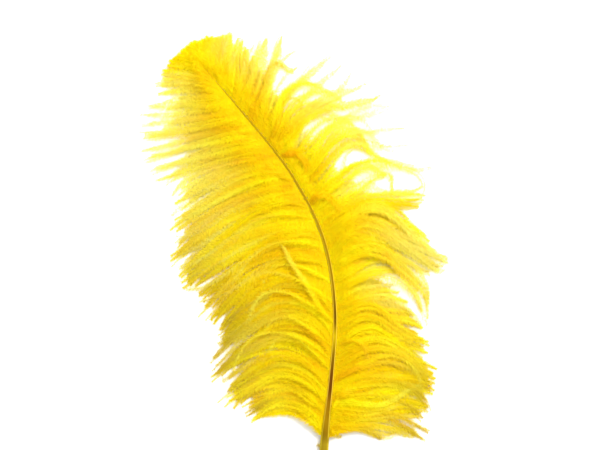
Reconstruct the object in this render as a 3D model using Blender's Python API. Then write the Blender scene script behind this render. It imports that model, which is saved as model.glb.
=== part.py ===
"""An ostrich plume lying on a table: a shaft and the two vanes that grow from its sides.

Units are metres, +Z up. The plume lies along Y with its tip towards +Y. Each vane is a plain closed
solid of the space that its barbs fill: flat underneath, crowned beside the shaft, thin at the rim.
"""

import math

import bmesh
import bpy
import numpy as np
from mathutils import Vector

MM = 0.001

# The shaft's centre line from butt to tip, in mm: x, y from the butt, height above the table
SHAFT_LINE = [
    (-2, 0, 2.8),
    (0, 30, 3.6),
    (3.7, 65, 4.9),
    (6, 105, 6.0),
    (-1, 149, 6.2),
    (-20.5, 188, 5.8),
    (-47.5, 222, 4.9),
    (-78, 257, 3.6),
]
SHAFT_RINGS = 76
SHAFT_SIDES = 16

# Width of the shaft by distance along it, in mm: rounded butt, straight calamus, tapering rachis
SHAFT_WIDTHS = [
    (0, 1.6),
    (1.2, 4.0),
    (4, 5.1),
    (18, 5.6),
    (30, 5.2),
    (46, 3.6),
    (80, 2.6),
    (170, 1.5),
    (285, 0.6),
]
BUTT_STATIONS = 3  # of the widths above round the butt off, and each is a ring of its own
GROOVE_STARTS = 30  # mm from the butt, where the calamus ends
GROOVE_FADE = 14  # mm over which the groove reaches its full depth
GROOVE_DEPTH = 0.22  # of the shaft's width
GROOVE_SPREAD = math.radians(26)

VANE_STARTS = 30  # mm along the shaft
GAP = 0.3  # mm between a vane and the shaft
VANE_ROWS = 96
VANE_STRIPS = 6
CREST = 9.5  # mm, height of a vane beside the middle of the shaft
RIM = 1.0  # mm, thickness at the barb tips
DROOP = 2.2  # how quickly the crown falls away from the shaft
LOCKS = 15  # clumps of barbs that show at the rim of one vane
LOCK_NOTCH = 0.055  # depth of the notch between two locks, as a share of the vane's width
LOCK_SWELL = 0.12  # height of a lock over its neighbours' seam, as a share of the crown
END_CREST = 0.55  # height of a vane's crest at its two ends, as a share of its middle's
CREST_ROUNDING = 0.7  # how fast the crest reaches its full height

SHARP_ANGLE = math.radians(50)
QUILL_COLOUR, QUILL_ROUGHNESS = (0.36, 0.24, 0.02), 0.4
VANE_COLOUR, VANE_ROUGHNESS = (0.95, 0.64, 0.01), 0.7

# The rims of the two vanes, in mm: share of the vane's length along the shaft, then x and y
LEFT_RIM = [
    (0.00, -38, 41),
    (0.09, -57, 51),
    (0.20, -68, 71),
    (0.33, -73, 99),
    (0.45, -89, 132),
    (0.60, -99, 168),
    (0.72, -109, 198),
    (0.83, -109, 228),
    (0.93, -99, 251),
    (1.00, -87.2, 265.2),
]
RIGHT_RIM = [
    (0.00, 50, 29),
    (0.08, 63, 45),
    (0.20, 66, 72),
    (0.33, 65, 105),
    (0.43, 72, 133),
    (0.50, 65, 152),
    (0.62, 61, 180),
    (0.72, 49, 215),
    (0.81, 22, 248),
    (0.89, -16, 269),
    (0.95, -50, 273),
    (1.00, -86.4, 266),
]


def clear_scene():
    for thing in list(bpy.data.objects):
        bpy.data.objects.remove(thing, do_unlink=True)


def through(stations, values, at):
    """Values on a smooth curve through hand-placed stations, read at the places asked for."""
    stations = np.asarray(stations, float)
    values = np.asarray(values, float)
    slopes = np.gradient(values, stations, axis=0)
    at = np.clip(np.atleast_1d(np.asarray(at, float)), stations[0], stations[-1])
    i = np.clip(np.searchsorted(stations, at, side="right") - 1, 0, len(stations) - 2)
    step = stations[i + 1] - stations[i]
    t = ((at - stations[i]) / step)[:, None]
    step = step[:, None]
    return (
        (2 * t**3 - 3 * t**2 + 1) * values[i]
        + (t**3 - 2 * t**2 + t) * step * slopes[i]
        + (3 * t**2 - 2 * t**3) * values[i + 1]
        + (t**3 - t**2) * step * slopes[i + 1]
    )


def lengths_along(points):
    steps = np.linalg.norm(np.diff(np.asarray(points, float), axis=0), axis=1)
    return np.concatenate([[0], np.cumsum(steps)])


STATIONS = lengths_along(SHAFT_LINE)
SHAFT_LENGTH = STATIONS[-1]


def centre_at(along):
    return through(STATIONS, SHAFT_LINE, along)


def heading_at(along):
    """Unit direction along the shaft, towards the tip."""
    nudge = 0.5
    way = centre_at(np.asarray(along) + nudge) - centre_at(np.asarray(along) - nudge)
    return way / np.linalg.norm(way, axis=1)[:, None]


def width_at(along):
    places, widths = zip(*SHAFT_WIDTHS)
    return np.interp(along, places, widths)


def make_object(name, bm, material):
    mesh = bpy.data.meshes.new(name)
    bmesh.ops.recalc_face_normals(bm, faces=bm.faces)
    bm.to_mesh(mesh)
    bm.free()
    mesh.shade_smooth()
    mesh.set_sharp_from_angle(angle=SHARP_ANGLE)
    mesh.materials.append(material)
    piece = bpy.data.objects.new(name, mesh)
    bpy.context.collection.objects.link(piece)
    return piece


def finish(name, colour, roughness):
    material = bpy.data.materials.new(name)
    material.use_nodes = True
    shader = material.node_tree.nodes["Principled BSDF"]
    shader.inputs["Base Color"].default_value = (*colour, 1)
    shader.inputs["Roughness"].default_value = roughness
    shader.inputs["Metallic"].default_value = 0
    return material


def shaft_section(width, depth_share):
    """Offsets across and up for one ring: round, with a groove along the top of the rachis."""
    ring = []
    for k in range(SHAFT_SIDES):
        angle = math.pi / 2 + 2 * math.pi * k / SHAFT_SIDES
        off_top = math.remainder(angle - math.pi / 2, 2 * math.pi)
        dent = depth_share * width * math.exp(-((off_top / GROOVE_SPREAD) ** 2))
        ring.append((width / 2 * math.cos(angle), width / 2 * math.sin(angle) - dent))
    return ring


def shaft():
    bm = bmesh.new()
    butt = [place for place, _ in SHAFT_WIDTHS[:BUTT_STATIONS]]
    places = np.concatenate([butt, np.linspace(butt[-1], SHAFT_LENGTH, SHAFT_RINGS)[1:]])
    centres = centre_at(places)
    ways = heading_at(places)
    rings = []
    widths = width_at(places)
    for place, centre, way, width in zip(places.tolist(), centres, ways, widths.tolist()):
        across = Vector((way[1], -way[0], 0)).normalized()
        up = across.cross(Vector(way)).normalized()
        groove = GROOVE_DEPTH * min(1, max(0, (place - GROOVE_STARTS) / GROOVE_FADE))
        ring = [
            bm.verts.new((Vector(centre) + a * across + b * up) * MM)
            for a, b in shaft_section(width, groove)
        ]
        rings.append(ring)
    for low, high in zip(rings, rings[1:]):
        for k in range(SHAFT_SIDES):
            n = (k + 1) % SHAFT_SIDES
            bm.faces.new((low[k], low[n], high[n], high[k]))
    bm.faces.new(rings[0])
    bm.faces.new(rings[-1])
    return make_object("shaft", bm, finish("quill", QUILL_COLOUR, QUILL_ROUGHNESS))


def crown(share, out):
    """Height of a vane's top, at a share of its length and a share of its width."""
    crest = CREST * (END_CREST + (1 - END_CREST) * math.sin(math.pi * share) ** CREST_ROUNDING)
    swell = 1 + LOCK_SWELL * math.sin(2 * math.pi * LOCKS * share) * math.sin(math.pi * out)
    return RIM + (crest - RIM) * (1 - out) ** DROOP * swell


def vane(name, side, rim):
    """One vane. Side is -1 for the left of the shaft and +1 for the right."""
    shares = np.linspace(0, 1, VANE_ROWS + 1)
    along = VANE_STARTS + shares * (SHAFT_LENGTH - VANE_STARTS)
    centres = centre_at(along)[:, :2]
    ways = heading_at(along)[:, :2]
    across = np.stack([ways[:, 1], -ways[:, 0]], axis=1)
    across /= np.linalg.norm(across, axis=1)[:, None]
    roots = centres + side * across * (width_at(along) / 2 + GAP)[:, None]
    rim_stations = [place for place, _, _ in rim]
    tips = through(rim_stations, [(x, y) for _, x, y in rim], shares)
    notch = LOCK_NOTCH * (1 - np.abs(np.sin(math.pi * LOCKS * shares))) * np.sin(math.pi * shares)
    tips = tips + (roots - tips) * notch[:, None]
    bm = bmesh.new()
    top, foot = [], []
    for share, root, tip in zip(shares, roots, tips):
        high, low = [], []
        for strip in range(VANE_STRIPS + 1):
            out = strip / VANE_STRIPS
            x, y = (root + (tip - root) * out) * MM
            high.append(bm.verts.new((x, y, crown(share, out) * MM)))
            on_border = share in (0, 1) or strip in (0, VANE_STRIPS)
            low.append(bm.verts.new((x, y, 0)) if on_border else None)
        top.append(high)
        foot.append(low)
    for near, far in zip(top, top[1:]):
        for k in range(VANE_STRIPS):
            bm.faces.new((near[k], near[k + 1], far[k + 1], far[k]))
    for edge in (0, VANE_STRIPS):
        for row in range(VANE_ROWS):
            corners = (top[row][edge], top[row + 1][edge], foot[row + 1][edge], foot[row][edge])
            bm.faces.new(corners)
    for row in (0, VANE_ROWS):
        for k in range(VANE_STRIPS):
            bm.faces.new((top[row][k], top[row][k + 1], foot[row][k + 1], foot[row][k]))
    last = foot[VANE_ROWS]
    outline = (
        foot[0]
        + [row[VANE_STRIPS] for row in foot[1:VANE_ROWS]]
        + last[::-1]
        + [row[0] for row in foot[VANE_ROWS - 1 : 0 : -1]]
    )
    bm.faces.new(outline)
    return make_object(name, bm, finish(name, VANE_COLOUR, VANE_ROUGHNESS))


def stand_on_origin(pieces):
    """Moves the plume so that the middle of its footprint is at the origin and it lies on z = 0."""
    points = [piece.matrix_world @ v.co for piece in pieces for v in piece.data.vertices]
    low = Vector(min(p[axis] for p in points) for axis in range(3))
    high = Vector(max(p[axis] for p in points) for axis in range(3))
    shift = Vector((-(low.x + high.x) / 2, -(low.y + high.y) / 2, -low.z))
    for piece in pieces:
        piece.location = shift


def main():
    clear_scene()
    pieces = [
        shaft(),
        vane("left_vane", -1, LEFT_RIM),
        vane("right_vane", 1, RIGHT_RIM),
    ]
    stand_on_origin(pieces)


main()
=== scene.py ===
"""Looks of a dyed ostrich plume lying on a pale table: quill, barbs and barbules as real meshes.

The plume is laid out in millimetres from the butt of its quill, x to the right and y towards the tip,
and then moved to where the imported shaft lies. A barb is a thin tapering stem, and every barb carries
two rows of barbules, each a narrow blade. The blades are bent on the barbs that show.
"""

from collections import namedtuple
import math

import bpy
import numpy as np
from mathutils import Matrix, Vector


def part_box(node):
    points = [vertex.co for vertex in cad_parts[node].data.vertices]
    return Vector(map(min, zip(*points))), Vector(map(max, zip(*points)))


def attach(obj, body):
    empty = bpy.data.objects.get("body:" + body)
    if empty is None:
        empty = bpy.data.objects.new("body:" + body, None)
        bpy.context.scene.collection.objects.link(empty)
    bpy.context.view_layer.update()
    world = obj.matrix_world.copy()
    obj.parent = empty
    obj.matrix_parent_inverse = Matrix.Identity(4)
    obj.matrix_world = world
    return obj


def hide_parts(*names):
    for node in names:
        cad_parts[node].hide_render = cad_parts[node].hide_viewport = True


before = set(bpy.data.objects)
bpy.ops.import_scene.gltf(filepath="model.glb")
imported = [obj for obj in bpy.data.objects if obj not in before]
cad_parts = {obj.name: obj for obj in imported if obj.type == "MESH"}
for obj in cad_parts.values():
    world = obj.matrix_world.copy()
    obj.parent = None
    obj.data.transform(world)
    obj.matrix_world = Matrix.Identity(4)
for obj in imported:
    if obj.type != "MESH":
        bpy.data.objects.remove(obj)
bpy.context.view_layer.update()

MM = 0.001
SEED = 11

# The shaft's centre line from butt to tip, in mm: x, y from the butt, height above the table
SHAFT_LINE = [
    (-2, 0, 2.8),
    (0, 30, 3.6),
    (3.7, 65, 4.9),
    (6, 105, 6),
    (-1, 149, 6.2),
    (-20.5, 188, 5.8),
    (-47.5, 222, 4.9),
    (-78, 257, 3.6),
]
# Width of the shaft by distance along it, in mm
SHAFT_WIDTHS = [
    (0, 1.6),
    (1.2, 4),
    (4, 5.1),
    (18, 5.6),
    (30, 5.2),
    (46, 3.6),
    (80, 2.6),
    (170, 1.5),
    (285, 0.6),
]
VANE_STARTS = 30  # mm along the shaft
DOWN_STARTS = 24  # mm along the shaft, where the lowest down grows
ROOT_OUT = 0.42  # of the shaft's width from its middle to the barbs' roots

BUTT_RINGS = (0, 0.3, 1.2, 2.4)  # mm from the butt, rings that round it off
STRAIGHT_FROM = 4  # mm from the butt, where the evenly spaced rings begin
QUILL_RINGS = 260
QUILL_SIDES = 28
GROOVE = (30, 44)  # mm along the shaft, where its groove begins and where it is at its deepest
GROOVE_DEPTH = 0.22  # of the shaft's width
GROOVE_SPREAD = 0.45  # radians off the top

# How the barbs of one side run, by share of the vane's length: length in mm, heading in degrees
# (0 to the right, 90 towards the tip) at the root, at a third, at two thirds and at the tip, then how
# loose the locks are there, how pale and thin their outer halves grow, and how much light is painted
# on them: below 0 painted shade that darkens them, above 0 painted light that makes their tone paler
LEFT_UNDER = [
    (0, 40, 121, 153, 186, 206, 0.3, 0, 0),
    (0.08, 61, 132, 160, 200, 218, 0.3, 0.1, -0.07),
    (0.2, 70, 136, 166, 208, 222, 0.3, 0, -0.12),
    (0.33, 75, 145, 176, 214, 224, 0.3, 0, -0.1),
    (0.39, 82, 153, 182, 215, 223, 0.3, 0, -0.08),
    (0.45, 90, 162, 188, 216, 221, 0.3, 0.1, -0.07),
    (0.58, 89, 173, 190, 212, 216, 0.3, 0.25, -0.05),
    (0.7, 68, 180, 190, 206, 212, 0.3, 0.65, -0.03),
    (0.8, 54, 180, 188, 196, 200, 0.3, 0.9, 0),
    (0.88, 43, 174, 176, 182, 188, 0.3, 0.7, 0),
    (0.94, 30, 158, 162, 168, 174, 0.3, 0, 0.04),
    (0.98, 15, 144, 149, 154, 160, 0.3, 0, 0.06),
    (1, 10, 138, 137, 134, 132, 0.2, 0, 0.06),
]
RIGHT_UNDER = [
    (0, 60, 31, 14, 3, -6, 0.3, 0, -0.02),
    (0.08, 63, 34, 20, 0, -22, 0.3, 0, -0.04),
    (0.2, 58, 34, 26, 0, -30, 0.3, 0.1, -0.02),
    (0.27, 46, 36, 30, 8, -25, 0.3, 0.2, 0.02),
    (0.32, 34, 40, 34, 14, -10, 0.3, 0.4, 0.05),
    (0.36, 54, 42, 36, 6, -30, 0.3, 0.4, 0.05),
    (0.41, 69, 46, 36, -6, -42, 0.3, 0.2, 0.06),
    (0.46, 56, 50, 34, -10, -42, 0.3, 0.1, 0.08),
    (0.5, 48, 50, 30, -8, -34, 0.3, 0.3, 0.1),
    (0.52, 40, 51, 40, 16, -2, 0.3, 0.6, 0.1),
    (0.56, 29, 52, 50, 36, 16, 0.3, 0.6, 0.14),
    (0.6, 31, 55, 58, 58, 50, 0.3, 0.6, 0.16),
    (0.65, 33, 58, 66, 66, 58, 0.3, 0.9, 0.16),
    (0.7, 32, 60, 74, 76, 66, 0.3, 0.8, 0.06),
    (0.76, 30, 60, 80, 84, 76, 0.3, 0.3, 0),
    (0.82, 35, 62, 82, 88, 82, 0.3, 0.3, 0),
    (0.88, 36, 66, 84, 86, 78, 0.3, 0.3, 0.02),
    (0.94, 27, 80, 86, 86, 78, 0.3, 0.2, 0.06),
    (0.98, 16, 98, 96, 92, 86, 0.3, 0, 0.06),
    (1, 11, 120, 114, 108, 100, 0.2, 0, 0.06),
]
LEFT_OVER = [
    (0, 52, 123, 156, 190, 212, 0.4, 0.1, 0),
    (0.08, 73, 136, 162, 202, 222, 0.4, 0.1, -0.07),
    (0.2, 76, 140, 172, 212, 225, 0.4, 0, -0.12),
    (0.33, 78, 148, 184, 217, 225, 0.4, 0, -0.1),
    (0.39, 86, 156, 189, 218, 223, 0.5, 0.1, -0.08),
    (0.45, 94, 164, 194, 218, 221, 0.5, 0.2, -0.07),
    (0.58, 95, 175, 194, 214, 214, 0.5, 0.4, -0.05),
    (0.7, 71, 182, 194, 208, 210, 0.5, 0.65, -0.03),
    (0.8, 52, 182, 190, 197, 198, 0.5, 0.9, 0),
    (0.88, 43, 174, 177, 182, 186, 0.4, 0.7, 0),
    (0.94, 33, 158, 163, 168, 174, 0.4, 0.2, 0.04),
    (0.98, 17, 144, 149, 154, 160, 0.3, 0, 0.06),
    (1, 11, 138, 136, 133, 130, 0.2, 0, 0.06),
]
RIGHT_OVER = [
    (0, 62, 32, 14, 2, -18, 0.4, 0.1, -0.03),
    (0.08, 65, 36, 20, -6, -40, 0.5, 0.1, -0.05),
    (0.2, 61, 36, 22, -14, -46, 0.6, 0.2, -0.04),
    (0.33, 43, 42, 34, 8, -30, 0.5, 0.4, 0.03),
    (0.38, 64, 44, 34, -6, -38, 0.5, 0.3, 0.04),
    (0.45, 52, 50, 30, -18, -42, 0.5, 0.2, 0.05),
    (0.5, 46, 50, 30, -10, -40, 0.5, 0.3, 0.08),
    (0.53, 34, 52, 42, 20, 0, 0.5, 0.4, 0.14),
    (0.6, 30, 56, 54, 44, 24, 0.5, 0.6, 0.16),
    (0.66, 28, 58, 66, 60, 44, 0.5, 0.8, 0.12),
    (0.75, 36, 60, 80, 84, 74, 0.4, 0.4, 0),
    (0.82, 40, 64, 82, 84, 70, 0.5, 0.5, 0.02),
    (0.88, 39, 70, 84, 84, 74, 0.4, 0.5, 0.02),
    (0.94, 29, 80, 86, 84, 74, 0.4, 0.4, 0.06),
    (0.98, 18, 98, 94, 90, 84, 0.3, 0.1, 0.06),
    (1, 12, 118, 112, 106, 98, 0.2, 0, 0.06),
]

# Single locks that stand out, in mm from the butt: barbs in the lock, height of its arch over the
# shaft, paleness (below 0 it turns orange), painted light (below 0 painted shade), then the x,y pairs of its
# course, root to tip
LOCKS = [
    # Round the tip of the plume
    (4, 1.5, -0.2, -0.04, [-65,242, -75,245, -85,248, -95.5,249]),
    (4, 1.5, -0.1, 0, [-69,246.5, -78,250, -85,252.3, -91,253]),
    (4, 1.8, -0.2, 0, [-73,251.5, -79.5,254.5, -84.5,256.5, -88.5,257.3]),
    (4, 1.6, 0, 0, [-75,254, -79.5,257, -84,259.3, -87.3,260]),
    (4, 1.4, -0.1, 0, [-77,256, -80,259.3, -82.6,262, -84.6,263.5]),
    (4, 1.2, 0, 0, [-78,257, -79.6,260.5, -80.6,263.5, -81,266]),
    (4, 1.2, -0.2, 0, [-77,256, -77,260.5, -76.7,264.5, -76.3,267.7]),
    (4, 1.4, 0, 0, [-76,255, -74,260.5, -72.6,265.2, -72,269]),
    (4, 1.6, 0, 0, [-75,254, -71,261, -69,266, -68,270]),
    (4, 1.8, 0.2, 0, [-73,251, -68,260, -65.5,266, -64,270.5]),
    (3, 2, 0.9, 0, [-67,245, -63,256, -60,266, -58,274]),
    (2, 2, 1, 0, [-63,240, -57,252, -53,262, -49,271.5]),
    (2, 2, 1, 0, [-57,234, -50,248, -46,258, -43,267]),
    (3, 2.5, 0.7, 0, [-51,226, -45,240, -41,252, -38,262, -34.5,271]),
    (3, 3, 0.7, 0, [-45,219, -38,234, -33,248, -30,260, -28,267, -25.5,272.5]),
    (3, 3.5, 0.3, -0.14, [-40,212, -36,230, -35,245, -33,252, -30,255, -26,254, -22,250.5, -18.5,249.3,
     -16,251]),
    (2, 2.5, 0.8, 0, [-48,223, -41,237, -37,250, -36,260, -35,270]),
    (2, 2.5, 0.8, 0, [-43,216, -36,231, -31,246, -28,258, -26.5,270]),
    (2, 2.5, 0.9, 0, [-53,229, -46,243, -42,254, -40,262, -39,269]),
    # Upper right: pale tips that reach past the loops
    (2, 3, 1, 0, [-42,215, -37,228, -34,240, -30,250, -24,257, -15,263]),
    (1, 3, 0.9, 0, [-40,212, -34,224, -31,236, -27,243, -22,248, -15,251.5]),
    (1, 3.5, 0.8, 0, [-38,210, -31,222, -27,232, -22,239, -15,244, -8,246.5, -5,250]),
    (1, 3, 1, 0, [-36,207, -29,220, -24,233, -18,241, -12,248, -8,254]),
    (3, 3, 0.9, 0, [-38,210, -29,224, -19,238, -10,247, -2,254, 5,260]),
    (2, 3, 0.9, 0, [-34,205, -22,222, -12,233, -3,242, 5,249, 12,255.5]),
    (2, 3, 0.8, 0, [-33,203, -22,217, -11,228, 1,235, 9,238.5, 13,243, 17,250.5]),
    (2, 3, 1, 0, [-30,200, -20,215, -8,226, 4,233, 16,238, 27,242.5]),
    (1, 3, 1, 0, [-31,201, -19,216, -6,229, 6,236, 14,239, 22,240]),
    (2, 4, 0.6, -0.2, [-29,198, -19,211, -9,221, 2,226, 11,227, 19,229, 26,231, 33.5,236.5]),
    (2, 4, 0.9, -0.1, [-16,180, -6,193, 1,205, 8,215.5, 16,220.5, 26,223, 34,226, 42,229.5]),
    (2, 4, 1, 0, [-20,187, -9,201, 2,213, 12,221, 22,226, 32,229, 40,230]),
    (2, 3, 0.9, 0, [-16,180, -5,194, 5,206, 15,211.5, 27,213, 38,214.5, 50,214.8]),
    (1, 5.5, 0.7, -0.4, [-14,177, -3,190, 5,200, 13,207.5, 21,208.5, 28,206.5, 35,204, 43,204.5, 50,205.7]),
    (1, 4, 1, -0.1, [-14,177, -2,190, 8,200, 18,206, 28,204.5, 38,202.5, 48,202]),
    (2, 3, 0.9, 0, [-9,167, 6,180, 20,189, 34,192.5, 46,192, 56,190.5, 66,191.5]),
    (1, 3, 0.8, 0, [-22,190, -10,204, 0,214, 9,221, 18,222, 25,217, 29,211]),
    (2, 3, 0.7, 0, [-16,181, -4,195, 5,206, 14,213, 23,214, 30,209, 35,203]),
    (2, 3, 0.8, 0, [-31,201, -18,214, -6,224, 4,229, 14,231, 24,233, 32,233]),
    # Upper right: open loops
    (2, 4.5, 0.3, 0, [-36,207, -30,219, -27,230, -23,237, -16,241.5, -8,241, -1,238, 6,235, 12,231]),
    (2, 4.5, 0.4, 0, [-35,206, -31,217, -28,228, -25,235, -19,240, -11,243.5, -4,241]),
    (2, 4.5, 0.4, 0, [-33,204, -27,215, -23,225, -18,231.5, -11,235.5, -4,237.5, 2,237, 8,233]),
    (1, 7.2, 0, -0.18, [-35,206, -29,216, -26,226, -22.5,232, -18,232.5, -14.5,230, -14.5,226, -17,224]),
    (2, 4, 0.4, 0, [-34,205, -27,215, -21,223.5, -14,229, -7,231, 1,231, 8,232.5, 12,235]),
    (2, 4, 0.6, 0, [-32,202, -24,213, -17,221, -9,227.5, 0,229.5, 7,228.5, 13,226]),
    (2, 4.5, 0.5, 0, [-31,201, -22,209, -17,217, -13,223, -7,226, 0,226, 5,223, 10,220.3, 16,219]),
    (2, 4.5, 0.5, 0, [-29,198, -20,206, -15,214, -12,220, -6,222.5, 0,221, 5,219.5]),
    (2, 3.5, 0.8, 0, [-24,193, -15,203, -9,211, -4,217, 3,221, 11,222, 18,219]),
    (2, 3.5, 1, 0, [-22,189, -13,199, -7,207, -2,213, 4,217.5]),
    (2, 4.5, 0.4, 0, [-19,185, -9,194, -4,202, 0,211, 5,217, 11,219.5, 17,217.5, 21,213, 24,208, 27,204]),
    (2, 4.5, 0.3, 0, [-18,184, -8,192, -2,200, 2,208, 8,213, 14,214.5, 20,212, 23.5,207, 25.5,201]),
    (2, 4.5, 0.2, 0, [-17,182, -7,190, -1,199, 4,206, 10,210.5, 17,210.8, 22,207, 26,201.5, 31,197.5,
     38,194.5]),
    (2, 4.5, 0.5, 0, [-15,179, -5,187, 1,195, 6,202, 12,206, 19,206.5, 25,204, 30,199, 36,195.5, 43,193]),
    (2, 4, 0.2, 0, [-13,175, -3,182, 3,189.5, 7,197, 11.5,202.5, 17.5,204.3, 24,203, 29,199.5]),
    (1, 3, 0.9, 0, [-10,170, 2,179, 9,186, 12,192, 13.5,198, 17,202]),
    (2, 4.5, 0.3, 0, [-9,168, 2,177, 9,184.5, 14,191, 20,194.5, 27,193.5, 32,190, 36,186]),
    (1, 6.5, 0.6, -0.2, [-10,170, 2,179.5, 12,188, 21,192, 28,191.5, 33,188.5, 36.5,186.5, 34.5,184.5,
     31.5,186.5]),
    (2, 4, 0.6, 0, [-8,165, 4,173, 11,179, 16,185, 20,190, 25,191.5]),
    (1, 3.5, 0.8, 0, [-7,163, 5,170.5, 13,176, 19,180.5, 25,182.5, 32,181]),
    (1, 3.5, 0.8, 0, [-7,163, 6,171, 15,177, 22,183, 29,186, 35,186]),
    (2, 4.5, 0.4, 0, [-11,171, 3,183, 14,191, 26,195.5, 36,195, 45,192, 52,190, 57,186, 59,180, 57.5,174]),
    (1, 4, 0.6, 0, [-11,171, 3,182, 16,191, 28,196, 38,196, 46,193.5, 54,192.5]),
    (2, 4, 0.4, 0, [-6,161, 8,170, 20,177, 30,184, 36,188, 40,187, 41,181, 41.5,175]),
    (1, 3.5, 0.8, 0, [-5,158, 7,167, 16,174, 22,178, 29,179.5, 37,177.5]),
    (2, 3.5, 0.5, 0, [-4,156, 8,166, 20,173, 33,175.5, 45,177, 54,178, 59,181]),
    (4, 4, -0.2, -0.1, [-3,154, 8,163, 20,169.5, 32,171.5, 44,171.5, 60,172]),
    (3, 3.5, 0.3, 0, [-5,158, 8,168, 20,172.5, 34,174.5, 46,175, 61,175.5]),
    (4, 4, -0.1, -0.12, [-2,152, 9,161, 22,167, 34,169.5, 45,168.5, 59,167.5]),
    # The orange lock that grows from the notch in the shaft, darkened with painted shade
    (3, 6.5, -0.7, -0.06, [-27,197, -22,199, -17,199.6, -12.5,196, -9,189, -5,181, 0,174.5, 4.5,171, 9,166,
     12,160]),
    (2, 4.8, -0.7, -0.22, [-27,197.5, -22,199.7, -16,200, -10,198.5, -4,196.5, 0,197]),
    (3, 7.8, -0.6, -0.2, [-10,169, -5,173.5, 0,175, 4,173, 8,168.5, 11,163.5, 14,157]),
    # Painted shade: darker locks laid in the creases between the locks of the left vane
    (2, 3.4, -0.3, -0.2, [-18,185, -26,185.8, -34,186.3, -41,186.2, -45,184.5, -47.3,182]),
    (3, 3.2, -0.2, -0.15, [-9.5,170, -20,171.5, -30,171.5, -38,169.5, -45,166, -52,161]),
    (2, 3.4, -0.1, -0.1, [-44,217.5, -55,217, -64,217.5, -72,216, -79,213.5, -86,211]),
    (3, 2.6, -0.4, -0.16, [-61,238, -69,240, -77,242.8, -85,246, -93,248]),
    # Right: broad arches
    (5, 6, 0.3, 0.2, [-1,149, 8,156, 16,162, 24,167, 32,168, 39,164, 45,157.5, 51,150, 58,143.5]),
    (3, 4, 0.2, -0.05, [-1,150, 9,159.5, 22,166.5, 34,168.5, 44,165.5, 52,159.5]),
    (4, 5, 0.6, 0, [-1,149, 9,157, 18,163.5, 27,167, 35,166, 42,161, 49,154, 58,147, 69,139.5]),
    (5, 6, 0.4, 0, [0,145, 8,152.5, 16,158.5, 24,160, 32,157, 40,151, 48,145, 57,138, 68,130]),
    (4, 5, 0.8, 0, [1,141, 9,149, 17,154.5, 25,155.5, 33,152.5, 42,147.5, 52,144, 62,139.5, 75,134]),
    (4, 5, 0.7, -0.08, [0,145, 10,154, 20,159.5, 31,159, 42,153, 53,147, 62,141, 75,135.5]),
    (3, 4.5, 0.7, -0.1, [1,142, 12,150, 24,154, 36,150, 47,143, 58,137, 73,130]),
    (3, 4.5, 0.4, -0.1, [3,133, 13,141, 24,145, 35,142, 44,135, 52,128, 59,120, 62,110]),
    (2, 4.5, 0.4, -0.1, [4,128, 14,135, 25,139, 36,137, 46,130, 54,122, 60,112, 61,100]),
    (3, 3.5, 0.2, -0.1, [4,66, 15,71, 27,74, 40,74, 51,70, 60,63, 65,55]),
    (3, 3, 0.1, -0.1, [3,58, 14,62, 27,64.5, 40,64, 52,59, 60,51, 63,43]),
    (3, 3, 0.1, -0.1, [2,50, 14,54, 28,55, 42,52, 53,46, 60,38]),
    (3, 2.5, 0.1, -0.1, [1,41, 14,43, 28,43, 42,39, 52,33, 57,29]),
    (3, 2.5, 0.1, -0.15, [0,35, 11,36, 22,34.5, 30,31, 36,28]),
    (5, 6, 0.1, 0, [2,138, 9,146, 16,151.5, 22,151.5, 29,148.5, 36,143, 42,137, 48,130, 54,123, 58,117]),
    (3, 5, 0.2, 0, [3,134, 11,143, 19,147.5, 27,146, 35,140, 41,133, 47,126, 52,119, 56,111, 59,102]),
    (3, 5, 0.7, 0, [1,142, 12,152, 24,157, 36,154, 46,147, 54,140, 60,134, 66,129.5, 73,127.5]),
    (4, 3.5, 0, 0, [4,130, 12,136, 20,141, 28,143.5, 35,142, 40,138.5]),
    (4, 3.5, 0, 0, [5,123, 13,128.5, 21,133, 29,136, 36,136, 42,133]),
    (4, 3.5, 0.2, 0, [6,116, 14,121.5, 23,126, 32,129, 41,129, 48,126]),
    (2, 3, 0.7, 0, [6,110, 15,116, 24,120, 33,121.5, 43,120.5]),
    (3, 3, 0.7, 0, [6,104, 16,109, 25,111, 34,110.5, 46,107, 54,101]),
    (4, 4.5, 0.1, 0, [6,100, 14,105, 22,108.5, 30,107.5, 38,102, 45,96, 51,91, 58,87]),
    (4, 4, 0.1, 0, [5.5,92, 14,97.5, 22,101.5, 30,101, 38,96, 46,90, 54,84.5, 61,80]),
    (4, 4, 0, 0, [5,84, 13,89.5, 21,94, 29,95, 37,91, 45,85, 53,79, 60,74]),
    (4, 4.5, 0.1, 0, [5,78, 14,83, 23,87.5, 32,88.5, 41,85, 50,79, 57,72, 62,65]),
    (4, 4.5, 0.1, 0, [4.5,72, 14,77, 24,81.5, 34,83, 43,80.5, 52,74.5, 58,67, 61,59]),
    (3, 3.5, 0.2, 0, [4,66, 14,70, 24,74.5, 33,78, 42,78, 50,74, 56,67, 58,59, 57,51]),
    (3, 3, 0.2, 0, [3.5,60, 14,63.5, 25,66, 36,65, 46,63.5, 56,62.5, 66,63]),
    (3, 3.5, 0.3, 0, [2.5,50, 13,50.5, 24,49, 34,49, 42,52.5, 49,57.5, 56,61, 63,62]),
    (1, 7, 0.2, 0, [5,84, 14,88, 21,87, 25,81, 26.5,72, 26,62, 24.5,54, 24,48]),
    (1, 5.5, 0, 0, [2,42, 5,48, 8.5,52, 12,52.5, 14,49, 13,45, 10,44]),
    (3, 3, 0.3, 0, [2,46, 12,45, 24,44, 36,46, 48,49, 60,52]),
    (3, 3, 0.4, 0, [1.5,42, 12,41, 24,39.5, 36,40.5, 48,42, 59,43]),
    (3, 2.5, 0.3, 0, [1,38, 12,36.5, 24,35.5, 36,35, 48,34, 56,35]),
    (3, 2.5, 0.3, 0, [0.5,34, 10,35, 20,35, 30,33, 38,30, 44,31.5]),
    (3, 2.5, 0.4, 0, [1,36, 14,36.5, 28,37, 40,34.5, 48,31, 53,28.5]),
    (2, 2.5, 0.1, 0, [0,31, 6,33, 12,34, 20,34]),
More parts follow.
